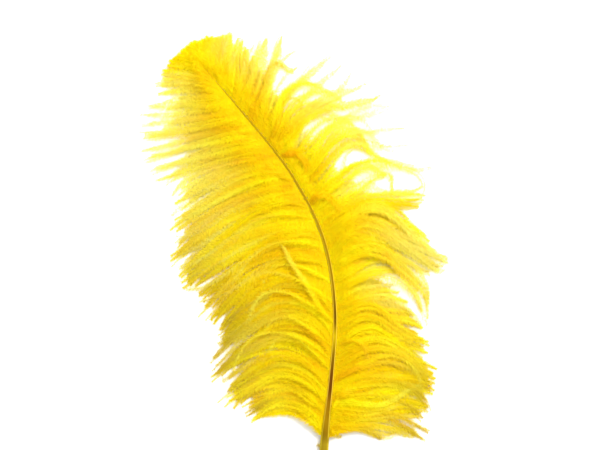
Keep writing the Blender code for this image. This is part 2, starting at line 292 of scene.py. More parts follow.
    (2, 2.5, 0.2, 0, [0,31, 9,33, 18,34, 26,32.5, 33,27.5]),
    (3, 4.5, 0.7, -0.1, [3,134, 14,142, 26,146, 38,142, 48,136, 57,130, 65,127]),
    (3, 4.5, 0.7, -0.1, [3,136, 14,145, 26,149, 38,146, 50,139, 61,133, 74,131]),
    (3, 3, 0.1, -0.1, [3,58, 15,60, 28,61, 42,60, 54,56, 63,52]),
    (3, 2.5, 0.1, -0.1, [1.5,44, 14,46, 28,47, 42,43, 54,37, 63,32]),
    (3, 2.5, 0.1, -0.12, [1,38, 14,39, 28,39, 42,36, 54,32, 61,27]),
    (2, 4, 0.5, -0.1, [4,130, 16,139, 30,142, 44,138, 56,130, 61,120, 62,108]),
    (2, 4, 1, 0, [6,105, 18,111.5, 31,114, 43,111, 52,104.5, 59,95]),
    (2, 4, 0.9, -0.05, [6,114, 17,121.5, 29,126, 40,125, 50,119, 57,109, 61,96]),
    (3, 4.5, -0.5, -0.22, [4,64, 14,69, 25,73, 36,74, 44,71.5, 50,67, 53,62]),
    (3, 4.5, -0.4, -0.2, [3,52, 13,56.5, 24,60, 34,60, 42,57.5]),
    # Lower left: arches over the part darkened with painted shade; the first arches carry painted light, the
    # later ones painted shade
    (4, 4.5, 0, 0.05, [3,60, -4,68, -12,75, -21,79.5, -30,78.5, -38,73, -47,66, -56,60]),
    (5, 5.5, 0.1, 0.12, [2.3,51, -5,58, -12,63.5, -20,67, -28,67.5, -36,64, -44,59.5, -52,55, -59,51.5]),
    (4, 4.5, 0.1, 0.08, [1.5,44, -7,51.5, -15,57, -23,59, -31,57, -38,52, -45,46.5]),
    (4, 4, 0.1, 0.06, [0.5,37, -8,44, -17,49, -26,50, -34,47, -42,41, -45,39]),
    (3, 3.5, 0.1, 0, [0,33, -7,40, -14,45, -22,46.5, -30,46, -38,43]),
    (3, 3, 0.1, 0, [0,31, -5,37.5, -11,42.5, -18,45.5, -26,45.5]),
    (3, 4, 0.1, 0, [4.5,78, -2,88, -10,96, -20,99.5, -30,97, -40,90, -50,81, -59,73]),
    (3, 4, 0.3, 0, [5.5,90, -1,100, -10,108, -21,111.5, -33,109, -44,101, -55,92, -66,85]),
    (4, 4, 0.2, -0.1, [6,104, -3,114, -14,120, -27,120, -40,112, -52,103, -62,95]),
    (4, 4, 0.3, -0.05, [5,84, -3,95, -14,103, -27,104, -40,98, -52,90, -63,80, -69,73]),
    (4, 4, 0.3, -0.05, [4,70, -4,80, -14,88, -26,90, -38,86, -50,79, -61,71, -66,66]),
    (3, 3.5, 0.1, -0.15, [2.6,55, -5,64, -15,71, -27,73, -39,69, -50,62, -60,56]),
    (3, 3, 0.1, -0.15, [1,40, -8,48, -18,53, -29,53, -39,48, -48,42]),
    (3, 4.5, -0.4, -0.12, [5,79, -6,91, -18,97, -32,94, -45,85, -56,76]),
    # Left: strays over the long parallel locks
    (2, 8.2, 0.2, 0.12, [6,98, -1,105, -7,113.5, -12.5,122.5, -17.5,131.5, -21.5,138.5, -24.5,144, -28,146]),
    (1, 7, 0.3, 0.1, [5,122, -8,130, -22,134, -32,133, -36,126, -37.5,116, -39.5,106]),
    (1, 7, 0.4, 0.2, [6,110, -8,120, -24,127, -38,128, -46,123, -50,114, -53,106]),
    (1, 7, 0.4, 0.2, [6,98, -10,110, -25,117, -36,116, -43,107, -46,94, -50,84]),
    (1, 7, 0.3, 0.15, [5,84, -10,96, -24,102, -33,99, -37,89, -39,76]),
    (1, 7, 0.3, 0.15, [4,70, -8,82, -20,90, -28,88, -33,79, -34,66]),
    (1, 7, 0.3, 0.15, [4,76, -12,88, -30,92, -44,88, -53,78, -57,66]),
    (1, 7, 0.5, 0.15, [1,143, -14,147, -30,146, -42,139, -50,129, -58,121, -66,122]),
    (1, 7, 0.5, 0.15, [-6,160, -22,163, -38,160, -50,152, -58,143, -70,138]),
    (4, 5, -0.1, 0, [-9,169, -20,171, -31,170, -41,166, -51,159, -61,150, -71,141, -81,133]),
    (3, 4.5, -0.1, 0, [-21,188, -31,188, -40,187, -46,183.5, -51,178, -58,172, -68,164]),
    (4, 5, 0, 0, [-1,149, -12,151.5, -24,150.5, -36,145, -48,136, -60,125, -71,114]),
    (4, 4.5, 0.1, 0, [3.5,132, -7,136, -18,137, -29,133.5, -40,126, -51,116.5, -62,107]),
    # Left rim: long pointed tips
    (3, 3, 0.6, 0, [-66,243, -78,245, -88,247.5, -99,247.5]),
    (3, 3, 0.7, 0, [-62,239, -75,242, -89,243, -103,241.5]),
    (3, 3, 0.6, 0, [-59,236, -73,238, -88,238, -103,236]),
    (2, 3, 0.9, 0, [-57,233, -73,232.5, -90,231, -107,227.5]),
    (3, 3, 1, 0, [-53,228, -72,226, -92,223.5, -112,223.5]),
    (3, 3.5, 0.9, 0, [-50,225, -68,222, -88,219, -111,217.5]),
    (4, 4.5, 0.6, 0, [-47,221, -62,219.5, -78,216, -94,211, -111,209]),
    (3, 3.5, 0.7, 0, [-43,216, -60,213, -76,209.5, -93,205, -111,202.5]),
    (3, 3, 0.9, 0, [-39,211, -56,209, -74,205, -92,200, -110,195]),
    (3, 3, 0.8, 0, [-35,206, -52,204, -70,199.5, -88,194, -108,187.5]),
    (2, 3, 0.8, -0.1, [-55,231, -72,229.5, -90,228, -108,230]),
    (3, 3, 0.7, -0.1, [-45,218, -62,216, -80,212.5, -96,212, -112,212.5]),
    (3, 3, 0.7, -0.1, [-41,214, -58,211.5, -76,206.5, -94,199.5, -108,197.5]),
    (3, 3, 0.7, -0.1, [-37,209, -54,206.5, -72,202, -88,195, -102,190.5]),
    (2, 3, 0.7, -0.1, [-33,204, -50,202, -68,198, -84,192, -98,180]),
    (3, 3, 0.6, 0, [-32,202, -48,200, -66,196, -84,190.5, -104,182.5]),
    (3, 3, 0.8, 0, [-29,198, -44,197, -60,193.5, -76,188.5, -85,183, -92,174]),
    (2, 3, 0.9, 0, [-25,193, -42,191, -58,186, -74,177.5, -90,169.5]),
    (3, 3.5, 0.5, 0, [-20,186, -38,183, -56,176, -74,166, -92,156]),
    (3, 3, 0.6, 0, [-17,181, -36,177, -56,168, -74,157, -92,145.5]),
    (2, 3, 0.8, 0, [-12,174, -34,169, -56,157, -74,144.5, -92,138]),
    (2, 3, 0.9, 0, [-23,190, -42,187, -60,180, -76,171, -88,166, -93,161]),
    (2, 3, 0.9, 0, [-14,177, -34,174, -54,165, -72,154, -86,150, -93,150.5]),
    (3, 3, 0.6, 0, [-8,168, -30,163, -52,151, -70,139, -90,130]),
    (2, 3, 0.7, 0, [-3,154, -26,154, -48,144, -66,132, -79,126, -87,125]),
    (2, 3, 0.6, 0, [0,146, -24,147, -46,137, -64,125.5, -76,119, -84,118]),
    (2, 3, 0.5, 0, [3,136, -20,139, -42,129, -60,116, -76,109]),
    (2, 3, 0.6, 0, [3.5,64, -10,75, -26,80, -42,76, -54,68, -64,60]),
    (2, 3, 0.4, 0, [5,86, -6,97, -20,103, -36,98, -50,88, -62,76, -69,69]),
    (2, 3, 0.4, 0, [4,74, -8,85, -22,92, -38,88, -52,79, -63,70]),
    (2, 3, 0.2, -0.1, [0.5,36, -8,44, -18,49, -28,49.5, -36,45, -42,38.5]),
    (2, 3, 0.6, 0, [2,52, -10,62, -26,67, -42,63, -56,55]),
    # Down at the foot of the vanes
    (1, 0.5, 0.1, 0, [0,29, 4,30.5, 8,30, 10,29.5]),
    (1, 0.5, 0, -0.2, [0,25, -2.5,25.2, -4.5,24]),
]

# The two layers of a vane's barbs: spread of their bend, rise over the shaft in mm, how far their tips
# hook in degrees, how closely a lock keeps together, size of their barbules, and how far they stray
Layer = namedtuple("Layer", "bends lift hooks pull fullness stray")
UNDER = Layer(bends=(0.9, 1.06), lift=1.5, hooks=30, pull=0.15, fullness=1.22, stray=1)
OVER = Layer(bends=(0.88, 1.12), lift=2, hooks=70, pull=0.45, fullness=1.05, stray=2)
UNDER_BARBS = 205
LEFT_OVER_BARBS = 54
RIGHT_OVER_BARBS = 42
LOCK_BARBS = (2, 5)  # fewest and most barbs in a lock
TRESS_BARBS = (9, 16)  # and in a tress, which turns as one
GROUP_TURN = 5  # degrees that a lock or a tress turns either way
BARB_TURN = 1.2  # degrees that a barb turns on its own
LENGTH_SPREAD = 0.05  # of a barb's length, either way
LONGEST, SHORTEST = 0.05, -0.1  # the most that it adds and takes away
LOCK_TONE = 0.07  # how much the tone changes from lock to lock
BARB_TONE = 0.05  # and from barb to barb in a lock
WAVES = ((0.8, 7), (1.9, 4))  # cycles along a barb, and how many degrees it waves
LOWEST = 0.25  # mm, height of a barb that lies on the table
LOCK_GAP = 1.1  # mm between the roots of a placed lock's barbs
LOCK_SPREAD = 1.25  # mm between those barbs further out, before they draw together
STRAY_ARCH = 7  # mm, an arch over this is a stray's, and it lies on the other barbs
STRAY_LIFT = 5.5  # mm that its far half rises for each mm over that

# The pieces of a vane, by share of its length
VANE_PARTS = (("base", -1, 0.24), ("lower", 0.24, 0.48), ("upper", 0.48, 0.7), ("tip", 0.7, 2))

BARB_POINTS = 36
HEIGHT_STATIONS = (0, 0.22, 0.5, 0.78, 1)  # shares of a barb's length where its height is set
UNDER_STEP = 3  # the stem of a barb underneath has a ring at every third point
STEM_SIDES = 3
STEM_RADIUS = 0.17  # mm at the root of a barb
STEM_TAPER = 0.85  # of the radius is gone at the tip
BARBULE_LENGTH = 2.9  # mm at the middle of a barb
BARBULE_SPREAD = 0.2  # of that length
SWEEP, SWEEP_SPREAD = 54, 12  # degrees between a barbule and its barb's own direction
DROOP, DROOP_SPREAD = 20, 20  # degrees below the level across the barb
BEND_IN = math.radians(16)  # how far the outer half of a bent blade turns towards the barb's tip
BEND_DOWN = math.radians(22)  # and how far it turns down
FIRST, LAST = 0.012, 0.995  # shares of a barb's length that its barbules keep to
BENT_PITCH = 0.295  # mm between barbules on one side of a barb that shows
PLAIN_PITCH = 0.2  # mm between them on a barb underneath
BENT_WIDTH = 0.26  # mm at a barbule's foot
PLAIN_WIDTH = 0.4
BLADE_FLOOR = 0.05  # mm over the table, which no blade goes below
RIM_SHADE = 0.16  # of the painted light, taken off as painted shade at the tips of the barbs low on the vane

# Colours as red, green and blue, and where they are on the ramps that use them
DYE = (
    (0, (0.84, 0.5, 0)),
    (0.3, (0.92, 0.665, 0)),
    (0.5, (0.94, 0.75, 0)),
    (0.7, (0.95, 0.83, 0)),
    (1, (0.97, 0.93, 0.006)),
)
LEMON = (0.92, 0.88, 0.26)
ORANGE = (0.96, 0.63, 0)
# painted shade: the colour that barbs are blended towards where their painted light is low
SHADED = (0.59, 0.42, 0.03)
SHEEN = (1, 0.85, 0.2)
GROOVE_COLOURS = (
    (0, (0.18, 0.09, 0)),
    (0.09, (0.28, 0.19, 0.006)),
    (0.11, (0.19, 0.105, 0)),
    (0.14, (0.26, 0.14, 0)),
    (0.177, (0.24, 0.115, 0)),
    (0.205, (0.12, 0.038, 0)),
    (0.24, (0.12, 0.04, 0)),
    (0.283, (0.2, 0.11, 0)),
    (0.32, (0.46, 0.32, 0)),
    (0.35, (0.13, 0.065, 0)),
    (0.37, (0.12, 0.06, 0)),
    (0.425, (0.24, 0.135, 0)),
    (0.5, (0.25, 0.145, 0)),
    (0.655, (0.25, 0.15, 0)),
    (0.86, (0.3, 0.19, 0)),
    (1, (0.46, 0.3, 0)),
)
SHOULDER_COLOURS = (
    (0, (0.37, 0.29, 0.015)),
    (0.12, (0.47, 0.34, 0.015)),
    (0.2, (0.66, 0.44, 0.035)),
    (0.4, (0.76, 0.54, 0.03)),
    (0.6, (0.7, 0.48, 0.01)),
    (1, (0.62, 0.42, 0)),
)
SPECKS = (0.2, 0.13, 0.003)
TABLE = (0.93, 0.93, 0.92)
PATCHES, GRAIN, BARE_GRAIN = 70, 1400, 260  # scales of the noise on the barbs and the bare quill

TABLE_SIZE = 6  # m
LAMP_PLACE = (0.6, 0.75, 1.1)  # m
LAMP_SIZE = 0.7  # m
LAMP_POWER = 25  # W
VIEW_HEIGHT = 270  # mm of plume that the picture is tall
QUILL_BELOW_VIEW = 22  # mm of bare quill past the picture's lower edge
VIEW_CENTRE_X = -15  # mm from the butt
VIEW_LEVEL = 5  # mm over the table, the height that is seen at that scale
CAMERA_HEIGHT = 1.2  # m over that level
ASPECT = 4 / 3
SENSOR_WIDTH = 36  # mm


def through(stations, values, at):
    """Values on a smooth curve through given stations, read at the places asked for."""
    stations = np.asarray(stations, float)
    values = np.asarray(values, float)
    slopes = np.gradient(values, stations, axis=0)
    at = np.clip(np.atleast_1d(np.asarray(at, float)), stations[0], stations[-1])
    i = np.clip(np.searchsorted(stations, at, side="right") - 1, 0, len(stations) - 2)
    step = stations[i + 1] - stations[i]
    t = ((at - stations[i]) / step)[:, None]
    step = step[:, None]
    return (
        (2 * t**3 - 3 * t**2 + 1) * values[i]
        + (t**3 - 2 * t**2 + t) * step * slopes[i]
        + (3 * t**2 - 2 * t**3) * values[i + 1]
        + (t**3 - t**2) * step * slopes[i + 1]
    )


def unit(v):
    return v / np.maximum(np.linalg.norm(v, axis=-1, keepdims=True), 1e-9)


def smooth(low, high, x):
    t = np.clip((x - low) / (high - low), 0, 1)
    return t * t * (3 - 2 * t)


def lengths_along(points):
    steps = np.linalg.norm(np.diff(np.asarray(points, float), axis=0), axis=1)
    return np.concatenate([[0], np.cumsum(steps)])


STATIONS = lengths_along(SHAFT_LINE)
SHAFT_LENGTH = STATIONS[-1]


def centre_at(along):
    return through(STATIONS, SHAFT_LINE, along)


def heading_at(along):
    nudge = 0.5
    return unit(centre_at(np.asarray(along) + nudge) - centre_at(np.asarray(along) - nudge))


def across_at(along):
    """Level direction across the shaft, to its right."""
    way = heading_at(along)
    return unit(np.stack([way[:, 1], -way[:, 0], 0 * way[:, 0]], axis=1))


def width_at(along):
    places, widths = zip(*SHAFT_WIDTHS)
    return np.interp(along, places, widths)


def find_shift():
    """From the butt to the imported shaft's place on the table, in metres."""
    along = np.linspace(0, SHAFT_LENGTH, 800)
    line, half = centre_at(along), width_at(along)[:, None] / 2
    across = across_at(along)
    rims = np.concatenate([line - across * half, line + across * half])
    low = rims.min(0) * MM
    packed_low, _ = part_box("shaft")
    return np.array([packed_low[0] - low[0], packed_low[1] - low[1], 0])


SHIFT = find_shift()


def laid_on_frame(points):
    """Points in mm from the butt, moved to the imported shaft's place, in metres."""
    return points * MM + SHIFT


def mesh_piece(name, points, triangles, uv, attributes, material):
    """A mesh from arrays: points in mm, UVs and named attributes, all by the point."""
    mesh = bpy.data.meshes.new(name)
    mesh.vertices.add(len(points))
    mesh.vertices.foreach_set("co", laid_on_frame(points).astype(np.float32).ravel())
    mesh.loops.add(triangles.size)
    mesh.loops.foreach_set("vertex_index", triangles.astype(np.int32).ravel())
    mesh.polygons.add(len(triangles))
    mesh.polygons.foreach_set("loop_start", np.arange(0, triangles.size, 3, dtype=np.int32))
    mesh.polygons.foreach_set("use_smooth", np.ones(len(triangles), bool))
    layer = mesh.uv_layers.new(name="OFBake")
    layer.uv.foreach_set("vector", uv[triangles.ravel()].astype(np.float32).ravel())
    for key, values in attributes.items():
        mesh.attributes.new(key, "FLOAT", "POINT").data.foreach_set("value", values.astype(np.float32))
    mesh.update(calc_edges=True)
    mesh.materials.append(material)
    piece = bpy.data.objects.new(name, mesh)
    bpy.context.collection.objects.link(piece)
    return piece


def tube_faces(index):
    """Triangles between the rings of a tube, or of many: index numbers the points, ring by ring."""
    low, high = index[..., :-1, :], index[..., 1:, :]
    next_low, next_high = np.roll(low, -1, -1), np.roll(high, -1, -1)
    halves = [(low, next_low, next_high), (low, next_high, high)]
    return np.concatenate([np.stack(corners, -1).reshape(-1, 3) for corners in halves])


# -------- barbs


# Barbs by the row: centre lines in mm, share of the vane's length at the root, and what each is like
Barbs = namedtuple("Barbs", "path share tone pale light size")


def chosen(barbs, rows):
    return Barbs(*[column[rows] for column in barbs])


def joined(groups):
    return Barbs(*[np.concatenate(columns) for columns in zip(*groups)])


def flow_at(flow, shares):
    """Lengths, headings, looseness, paleness and painted light of barbs, from a side's table; painted light
    below 0 is painted shade.
    """
    table = np.asarray(flow, float)
    rows = through(table[:, 0], table[:, 1:], shares)
    return rows[:, 0], rows[:, 1:5], rows[:, 5], rows[:, 6], rows[:, 7]


def groups_of(count, rng, smallest, largest):
    """The group that each barb of a row belongs to, and the barb in that group's middle."""
    group, middle = np.zeros(count, int), np.zeros(count, int)
    number = start = 0
    while start < count:
        end = min(count, start + rng.integers(smallest, largest + 1))
        group[start:end] = number
        middle[start:end] = (start + end - 1) // 2
        number, start = number + 1, end
    return group, middle


def shared(group, draw, *spread):
    """One random draw for each group, given to all of its barbs."""
    return draw(*spread, group.max() + 1)[group]


def side_of_shaft(along, side):
    """Where barbs leave the shaft on one side of it."""
    return centre_at(along) + side * across_at(along) * (width_at(along) * ROOT_OUT)[:, None]


def courses(side, headings, loose, lock, tress, layer, t, rng):
    """Headings in radians along every barb of a row, and how much each barb bends."""
    count = len(lock)
    bend = shared(lock, rng.uniform, *layer.bends) + rng.normal(0, 0.05, count)
    bent = headings[:, :1] + (headings - headings[:, :1]) * bend[:, None]
    turn = shared(tress, rng.normal, 0, GROUP_TURN) * loose * layer.stray
    turn = turn + shared(lock, rng.normal, 0, GROUP_TURN) * loose * layer.stray
    turn = turn + rng.normal(0, BARB_TURN, count) * layer.stray
    course = through([0, 1 / 3, 2 / 3, 1], bent.T, t).T
    course = course + turn[:, None] * smooth(0, 0.5, t)
    for cycles, degrees in WAVES:
        phase = shared(lock, rng.uniform, 0, 2 * math.pi)[:, None]
        course += degrees * layer.stray * loose[:, None] * np.sin(2 * math.pi * cycles * t + phase) * t
    hook = shared(lock, rng.uniform, -0.3, 1) ** 3 * layer.hooks * loose
    course = course - side * hook[:, None] * smooth(0.6, 1, t)
    return np.radians(course), bend


def row_of_barbs(side, flow, count, layer, rng):
    """One layer of barbs along one side of the shaft."""
    shares = (np.arange(count) + 0.5 + rng.uniform(-0.25, 0.25, count)) / count
    along = VANE_STARTS + shares * (SHAFT_LENGTH - VANE_STARTS)
    lengths, headings, loose, pale, light = flow_at(flow, shares)
    lock, middle = groups_of(count, rng, *LOCK_BARBS)
    tress, _ = groups_of(count, rng, *TRESS_BARBS)
    t = np.linspace(0, 1, BARB_POINTS)
    course, bend = courses(side, headings, loose, lock, tress, layer, t, rng)

    change = np.clip(rng.normal(0, LENGTH_SPREAD, count), SHORTEST, LONGEST)
    lengths = lengths * (0.72 + 0.28 * bend) * (1 + change)
    lengths = lengths * (1 - 0.5 * pale * rng.random(count))
    step = lengths[:, None] / (BARB_POINTS - 1)
    root = side_of_shaft(along, side)
    path = np.zeros((count, BARB_POINTS, 3))
    path[:, 1:, 0] = np.cumsum(np.cos(course[:, :-1]) * step, axis=1)
    path[:, 1:, 1] = np.cumsum(np.sin(course[:, :-1]) * step, axis=1)
    path[:, :, :2] += root[:, None, :2]

    rise = layer.lift * shared(lock, rng.uniform, 0.7, 1.1)
    rest = shared(lock, rng.uniform, 0.5, 1.6) + 0.35 * layer.lift * rng.random(count)
    path[:, :, 2] = heights(root[:, 2], rise, rest, t)

    pulled = (layer.pull * (0.6 + 0.4 * shared(lock, rng.random)))[:, None, None]
    pulled = pulled * smooth(0.1, 0.85, t)[None, :, None]
    path = path + (path[middle] - path) * pulled
    path[:, :, 2] = np.maximum(path[:, :, 2], LOWEST)
    tone = 0.5 + shared(lock, rng.normal, 0, LOCK_TONE) + rng.normal(0, BARB_TONE, count)
    # painted light: where the side's table paints light, the barbs' tone is raised towards lemon
    tone = tone + np.maximum(light, 0)
    return Barbs(path, shares, tone, np.clip(pale, 0, 1), light, np.full(count, layer.fullness))


def heights(root, rise, rest, t):
    """Height of barbs over the table: up from the shaft, then down to where their tips lie."""
    peak = root + rise
    stations = np.stack([root, peak, 0.66 * peak, 0.3 * peak + 0.5 * rest, rest])
    return through(HEIGHT_STATIONS, stations, t).T


def placed_lock(number, arch, pale, light, course, rng):
    """The side of the shaft that a lock grows on, and its barbs along a given course."""
    course = np.reshape(course, (-1, 2)).astype(float)
    shaft_at = np.linspace(DOWN_STARTS, SHAFT_LENGTH - 1, 500)
    shaft_line = centre_at(shaft_at)[:, :2]
    begin = shaft_at[np.argmin(np.linalg.norm(shaft_line - course[0], axis=1))]
    way = heading_at(np.array([begin]))[0]
    side = math.copysign(1, np.dot(course[1] - course[0], [way[1], -way[0]]))
    spread = np.arange(number) - (number - 1) / 2
    along = begin + spread * LOCK_GAP + rng.normal(0, 0.2, number)
    along = np.clip(along, DOWN_STARTS, SHAFT_LENGTH - 0.5)
    root = side_of_shaft(along, side)
    stations = lengths_along(course)
    t = np.linspace(0, 1, BARB_POINTS)
    reach = 1 - 0.06 * rng.random(number) * (number > 1)
    path = np.zeros((number, BARB_POINTS, 3))
    fan = 0.8 - 0.4 * smooth(0.35, 1, t)
    for k in range(number):
        line = through(stations, course, t * reach[k] * stations[-1])
        ahead = unit(np.gradient(line, axis=0))
        across = np.stack([ahead[:, 1], -ahead[:, 0]], axis=1)
        sway = 0.9 * np.sin(2 * math.pi * (1.3 * t + rng.random())) * t
        aside = -spread[k] * LOCK_SPREAD * fan + sway
        line = line + across * aside[:, None] * smooth(0, 0.25, t)[:, None]
        from_root = (root[k, :2] - line[0]) * (1 - smooth(0, 0.3, t))[:, None]
        path[k, :, :2] = line + from_root
    rise = 0.7 * arch * (1 + rng.normal(0, 0.08, number))
    rest = 0.35 + 0.12 * arch + rng.random(number)
    over = STRAY_LIFT * max(arch - STRAY_ARCH, 0)
    path[:, :, 2] = heights(root[:, 2], rise, rest, t) + over * smooth(0.2, 0.9, t)
    share = (along - VANE_STARTS) / (SHAFT_LENGTH - VANE_STARTS)
    # painted light and shade: the side's painted light at the lock's root adds to the lock's own, which also
    # shifts the lock's tone
    ground = flow_at(LEFT_OVER if side < 0 else RIGHT_OVER, share)[4]
    tone = 0.55 + 0.5 * light + rng.normal(0, 0.09) + rng.normal(0, BARB_TONE, number)
    tone = tone + 0.7 * np.maximum(ground, 0)
    size = np.full(number, 1 + 0.25 * max(pale, 0))
    return side, Barbs(path, share, tone, np.full(number, float(pale)), light + ground, size)


def painted_light_at(barbs, rows, t):
    """Painted light on a barb at a share of its length, 1 where none is painted, lower for painted shade.
    Low barbs' tips get painted shade.
    """
    own = barbs.light[rows] * (0.15 + 0.95 * smooth(0.1, 0.75, t))
    return 1 + own - RIM_SHADE * smooth(0.6, 1, t) * (1 - smooth(0.5, 0.8, barbs.share[rows]))


def barb_stems(barbs, every):
    """Tapering stems, a ring at every so many points. Returns points, triangles, UVs and attributes."""
    path = barbs.path[:, ::every]
    count, steps, _ = path.shape
    ahead = unit(np.gradient(path, axis=1))
    across = unit(np.cross(ahead, [0, 0, 1]))
    up = np.cross(across, ahead)
    t = np.linspace(0, 1, steps)
    radius = STEM_RADIUS * (1 - STEM_TAPER * t)
    rings = []
    for k in range(STEM_SIDES):
        angle = math.pi / 2 + 2 * math.pi * k / STEM_SIDES
        rings.append(path + (across * math.cos(angle) + up * math.sin(angle)) * radius[None, :, None])
    points = np.stack(rings, axis=2).reshape(-1, 3)
    index = np.arange(count * steps * STEM_SIDES).reshape(count, steps, STEM_SIDES)
    band = np.arange(count)[:, None, None] + 0.5 + 0.02 * (np.arange(STEM_SIDES) - 1)
    u = np.broadcast_to(t[None, :, None], index.shape)
    uv = np.stack([u, np.broadcast_to(band, index.shape)], axis=-1).reshape(-1, 2)
    spread = {
        "along": u.ravel(),
        "edge": np.zeros(index.size),
        "tone": np.repeat(barbs.tone, steps * STEM_SIDES),
        "pale": np.repeat(barbs.pale, steps * STEM_SIDES),
        "painted_light": painted_light_at(barbs, index // (steps * STEM_SIDES), u).ravel(),
    }
    return points, tube_faces(index), uv, spread


def barbule_feet(barbs, pitch, rng):
    """Which barb each barbule sits on, how far along it, on which side, and how many a barb has."""
    lengths = np.linalg.norm(np.diff(barbs.path, axis=1), axis=2).sum(1)
    number = (lengths / pitch).astype(int)
    barb = np.repeat(np.arange(len(number)), number)
    order = np.arange(len(barb)) - np.repeat(np.cumsum(number) - number, number)
    t = (order + 0.5) / number[barb]
    barb, t = np.concatenate([barb, barb]), np.concatenate([t, t])
    side = np.repeat([-1.0, 1.0], len(barb) // 2)
    t = np.clip(t + rng.normal(0, 0.25, len(t)) / number[barb], FIRST, LAST)
    thinned = 0.5 * np.maximum(barbs.pale[barb], 0) * smooth(0.3, 0.8, t)
    kept = rng.random(len(t)) >= thinned
    return barb[kept], t[kept], side[kept], number


def blade_feet(path, barb, t, rng):
    """Points where barbules grow, and the directions ahead, across and above the twisting barb there."""
    count, steps, _ = path.shape
    ways = unit(np.gradient(path, axis=1))
    place = t * (steps - 1)
    i = np.minimum(place.astype(int), steps - 2)
    f = (place - i)[:, None]
    foot = path[barb, i] * (1 - f) + path[barb, i + 1] * f
    ahead = unit(ways[barb, i] * (1 - f) + ways[barb, i + 1] * f)
    level = unit(np.cross(ahead, [0, 0, 1]))
    up = np.cross(level, ahead)
    cycles, phase = rng.uniform(0.5, 1.6, count), rng.uniform(0, 2 * math.pi, count)
    roll = rng.normal(0, 0.25, count)[barb] + 0.45 * np.sin(2 * math.pi * cycles[barb] * t + phase[barb])
    roll = (roll * smooth(0, 0.3, t))[:, None]
    across = level * np.cos(roll) + up * np.sin(roll)
    return foot, ahead, across, np.cross(across, ahead)


def blade_lengths(barbs, barb, t, rng):
    """Lengths of barbules, shorter at both ends of a barb. High in the vane pale barbs end in a point."""
    size = BARBULE_LENGTH * barbs.size[barb] * (0.75 + 0.25 * smooth(0, 0.05, t))
    pointed = 0.45 * smooth(0.45, 0.6, barbs.share[barb]) - 0.25
    taper = 0.5 + pointed * np.maximum(barbs.pale[barb], 0)
    size = size * (1 - 0.15 * t) * (1 - taper * smooth(0.8, 1, t))
    return (size * (1 + rng.normal(0, BARBULE_SPREAD, len(t))))[:, None]


def barbules(barbs, bent, rng):
    """Two rows of blades on every barb. Returns points, triangles, UVs and attributes."""
    barb, t, side, number = barbule_feet(barbs, BENT_PITCH if bent else PLAIN_PITCH, rng)
    foot, ahead, across, above = blade_feet(barbs.path, barb, t, rng)
    out = side[:, None] * across

    def leaning(sweep, droop):
        return np.cos(sweep) * ahead + np.sin(sweep) * (np.cos(droop) * out - np.sin(droop) * above)

    sweep = np.radians(SWEEP + rng.normal(0, SWEEP_SPREAD, len(t)))[:, None]
    droop = np.radians(DROOP + rng.normal(0, DROOP_SPREAD, len(t)))[:, None]
    first = leaning(sweep, droop)
    size = blade_lengths(barbs, barb, t, rng)
    if bent:
        second = leaning(sweep - BEND_IN, droop + BEND_DOWN)
        middle = foot + first * size * 0.5
        tip = middle + second * size * 0.5
        half = ahead * BENT_WIDTH / 2
        corners = [foot - half, foot + half, middle - 0.8 * half, middle + 0.8 * half, tip]
        faces, edge = [[0, 1, 3], [0, 3, 2], [2, 3, 4]], np.array([0, 0, 0.5, 0.5, 1])
        lean = np.array([-1, 1, -1, 1, 0])
    else:
        half = ahead * PLAIN_WIDTH / 2
        corners = [foot - half, foot + half, foot + first * size]
        faces, edge, lean = [[0, 1, 2]], np.array([0, 0, 1.0]), np.array([-1, 1, 0])
    points = np.stack(corners, axis=1)
    points[:, :, 2] = np.maximum(points[:, :, 2], BLADE_FLOOR)
    each = len(corners)
    base = np.arange(len(t))[:, None] * each
    triangles = np.concatenate([base + face for face in faces])

    u = t[:, None] + lean * (0.6 / number[barb])[:, None]
    v = barb[:, None] + 0.5 + side[:, None] * (0.04 + 0.42 * edge)
    uv = np.stack([np.clip(u, 0, 1), v], axis=-1).reshape(-1, 2)
    spread = {
        "along": np.repeat(t, each),
        "edge": np.tile(edge, len(t)),
        "tone": np.repeat(barbs.tone[barb], each),
        "pale": np.repeat(barbs.pale[barb], each),
        "painted_light": np.repeat(painted_light_at(barbs, barb, t), each),
    }
    return points.reshape(-1, 3), triangles, uv, spread


def barb_piece(name, under, over, rng, material):
    """The barbs of both layers in one mesh. Each barb has a band of its own in the UV map."""
    parts = [
        (barb_stems(under, UNDER_STEP), 0),
        (barbules(under, False, rng), 0),
        (barb_stems(over, 1), len(under.path)),
        (barbules(over, True, rng), len(under.path)),
    ]
    points, triangles, uvs, spreads, base = [], [], [], [], 0
    bands = len(under.path) + len(over.path)
    for (part_points, part_triangles, part_uv, spread), band in parts:
        points.append(part_points)
        triangles.append(part_triangles + base)
        uvs.append((part_uv + [0, band]) / [1, bands])
        spreads.append(spread)
        base += len(part_points)
    merged = {key: np.concatenate([spread[key] for spread in spreads]) for key in spreads[0]}
    arrays = [np.concatenate(rows) for rows in (points, triangles, uvs)]
    return mesh_piece(name, *arrays, merged, material)


# -------- quill


